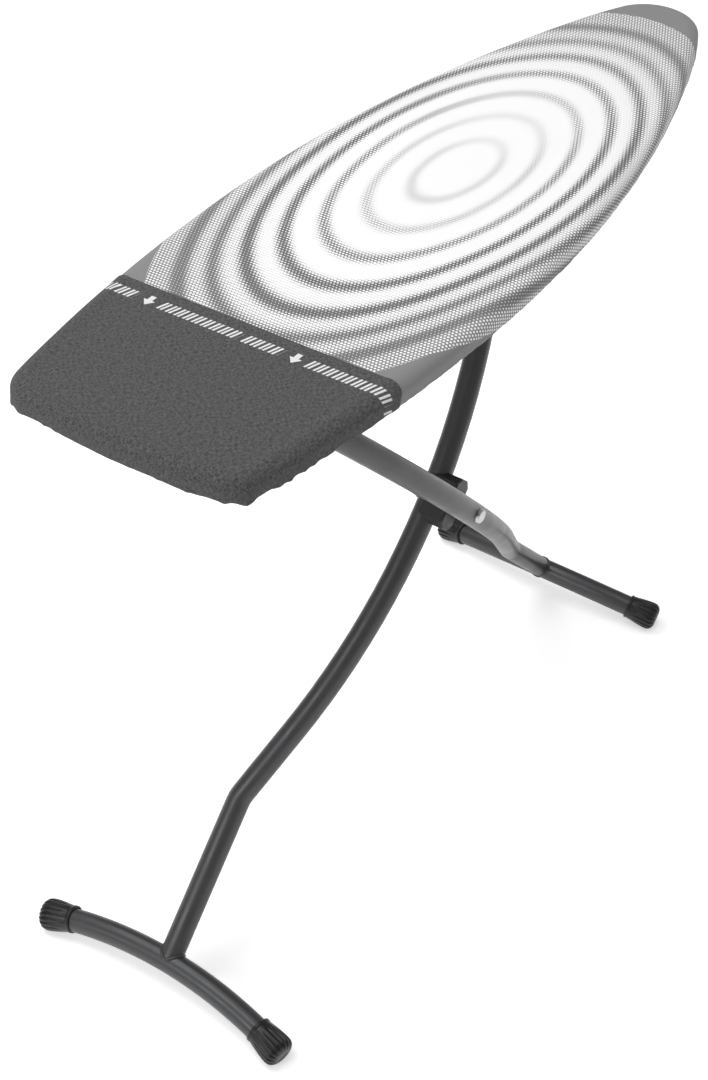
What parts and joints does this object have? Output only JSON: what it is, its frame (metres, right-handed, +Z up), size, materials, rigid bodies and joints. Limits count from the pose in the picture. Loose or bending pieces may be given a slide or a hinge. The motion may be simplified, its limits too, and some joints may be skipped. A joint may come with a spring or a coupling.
{
  "type": "ironing board",
  "caption": "Folding ironing board with a padded cloth-covered top, crossed bowed tube legs, arched foot bars with ribbed caps and a height latch.",
  "frame": {"origin": "on the floor under the middle of the bounding box", "axes": "+X towards the pointed nose, +Y to the far long side, +Z up"},
  "size_m": [1.3693, 0.4516, 1.013],
  "materials": {
    "cover_print": "printed cotton, staggered grey dot rings on white",
    "cover_charcoal": "charcoal heather heat-resistant cloth",
    "felt": "needled felt and foam",
    "leg_paint": "dark grey satin metallic paint",
    "frame_steel": "grey powder coat",
    "bright_steel": "zinc plated",
    "black_plastic": "moulded black plastic",
    "black_rubber": "matt black rubber",
    "badge_metal": "satin chrome"
  },
  "bodies": {
    "board": {"top_plate": "frame_steel", "underlay": "felt", "cover": "cover_print", "heat_zone_cover": "cover_charcoal", "rail_left": "frame_steel", "rail_right": "frame_steel", "brace_rear": "frame_steel", "brace_middle": "frame_steel", "brace_front": "frame_steel", "pivot_saddle_left": "black_plastic", "pivot_saddle_right": "black_plastic", "saddle_screws": "bright_steel", "rail_rivets": "bright_steel", "rail_bumper_left": "black_rubber", "rail_bumper_right": "black_rubber", "lever_bracket": "bright_steel", "lever_pin": "bright_steel", "rod_guides": "black_plastic", "spring_anchor": "bright_steel", "hook_bracket": "black_plastic"},
    "leg_b": {"leg_b_tube": "leg_paint", "leg_b_foot_bar": "leg_paint", "leg_b_cap_left": "black_rubber", "leg_b_cap_right": "black_rubber", "leg_b_knuckle": "black_plastic", "leg_b_crossbar": "bright_steel", "leg_b_plug_left": "black_plastic", "leg_b_plug_right": "black_plastic", "pivot_bolt": "bright_steel", "pivot_washer": "bright_steel", "pivot_nut": "bright_steel", "leg_b_badge": "badge_metal"},
    "leg_a": {"leg_a_tube": "leg_paint", "leg_a_foot_bar": "leg_paint", "leg_a_cap_left": "black_rubber", "leg_a_cap_right": "black_rubber", "leg_a_knuckle": "black_plastic", "leg_a_crossbar": "bright_steel", "leg_a_glide_left": "black_plastic", "leg_a_glide_right": "black_plastic", "leg_a_bush": "bright_steel", "pivot_block": "black_plastic"},
    "lever": {"height_lever": "bright_steel", "lever_grip": "black_plastic"},
    "lock_slider": {"child_lock": "black_rubber"},
    "release": {"release_rod": "bright_steel", "release_frame": "bright_steel", "rod_pin": "bright_steel", "return_spring": "bright_steel"},
    "hook": {"transport_hook": "bright_steel"}
  },
  "joints": [
    {"name": "fold", "type": "hinge", "parent": "board", "child": "leg_b", "pos_m": [-0.39523, 0, 0.95289], "axis": [0, -1, 0], "range_deg": [0, 43.5]},
    {"name": "leg_cross", "type": "hinge", "parent": "leg_b", "child": "leg_a", "pos_m": [-0.1118, 0, 0.603], "axis": [0, -1, 0], "range_deg": [-87, 0]},
    {"name": "lever_squeeze", "type": "hinge", "parent": "board", "child": "lever", "pos_m": [-0.5, 0.06, 0.967], "axis": [0, 1, 0], "range_deg": [0, 15], "stiffness_Nm_per_rad": 3, "springref_deg": -11.46},
    {"name": "child_lock_slide", "type": "slide", "parent": "lever", "child": "lock_slider", "axis": [-1, 0, 0], "range_m": [0, 0.008]},
    {"name": "release_slide", "type": "slide", "parent": "board", "child": "release", "axis": [1, 0, 0], "range_m": [0, 0.00471]},
    {"name": "hook_swing", "type": "hinge", "parent": "board", "child": "hook", "pos_m": [-0.565, 0, 0.988], "axis": [0, 1, 0], "range_deg": [0, 90]}
  ],
  "couplings": [
    {"joint": "leg_cross", "follows": "fold", "ratio": -2},
    {"joint": "release_slide", "follows": "lever_squeeze", "m_per_rad": 0.018}
  ]
}
